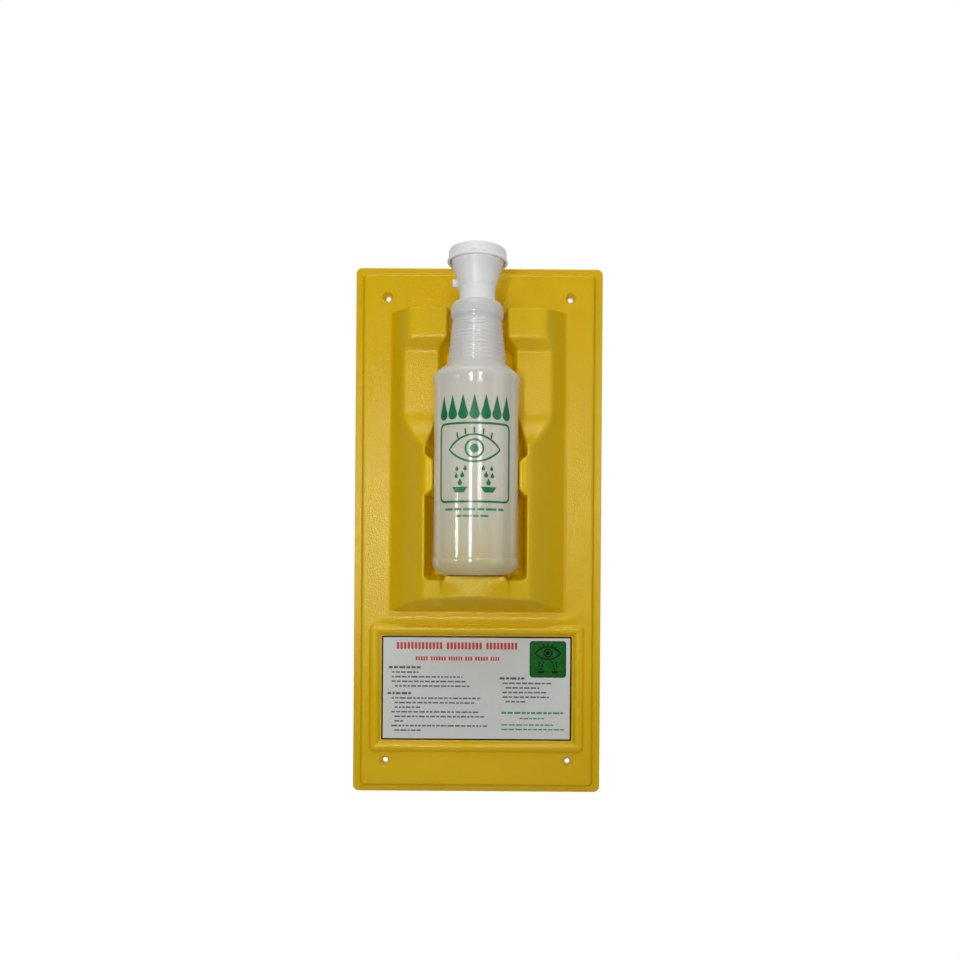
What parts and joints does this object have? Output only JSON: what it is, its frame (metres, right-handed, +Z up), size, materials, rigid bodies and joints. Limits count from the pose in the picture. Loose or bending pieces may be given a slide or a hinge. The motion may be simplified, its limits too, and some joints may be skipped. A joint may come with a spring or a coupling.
{
  "type": "eyewash station",
  "caption": "Wall panel with a moulded cradle that holds a ribbed squeeze bottle with an eyecup closure and press-fit dust cap, above a framed instruction label.",
  "frame": {"origin": "centre of the pattern of four wall holes, on the wall plane", "axes": "+X to the right as seen from the front, +Z up, the front faces -Y"},
  "size_m": [0.2486, 0.0918, 0.527],
  "materials": {
    "panel_plastic": "satin, fine hair-cell grain",
    "label_film": "glossy printed film",
    "bottle_plastic": "natural translucent polyethylene",
    "closure_plastic": "satin white",
    "cap_plastic": "satin white",
    "tube_plastic": "translucent tube",
    "liner_foam": "matt foam"
  },
  "bodies": {
    "panel": {"wall_panel": "panel_plastic", "instruction_label": "label_film"},
    "bottle": {"bottle_base": "bottle_plastic", "bottle": "bottle_plastic", "bottle_neck": "bottle_plastic", "bottle_dome": "bottle_plastic", "bottle_finish": "bottle_plastic"},
    "lift": {"closure_liner": "liner_foam"},
    "closure": {"eyecup_closure": "closure_plastic", "spray_nozzle": "closure_plastic", "dip_tube": "tube_plastic", "drain_spout": "closure_plastic"},
    "cap": {"dust_cap": "cap_plastic", "cap_seal": "liner_foam"}
  },
  "joints": [
    {"name": "bottle_pull", "type": "slide", "parent": "panel", "child": "bottle", "axis": [0, -1, 0], "range_m": [0, 0.12]},
    {"name": "closure_lift", "type": "slide", "parent": "bottle", "child": "lift", "axis": [0, 0, 1], "range_m": [0, 0.0064]},
    {"name": "closure_turn", "type": "hinge", "parent": "lift", "child": "closure", "pos_m": [0, -0.051, 0.227], "axis": [0, 0, 1], "range_deg": [0, 540]},
    {"name": "cap_pull", "type": "slide", "parent": "closure", "child": "cap", "axis": [0, 0, 1], "range_m": [0, 0.03]}
  ],
  "couplings": [
    {"joint": "closure_lift", "follows": "closure_turn", "m_per_rad": 0.000674}
  ]
}
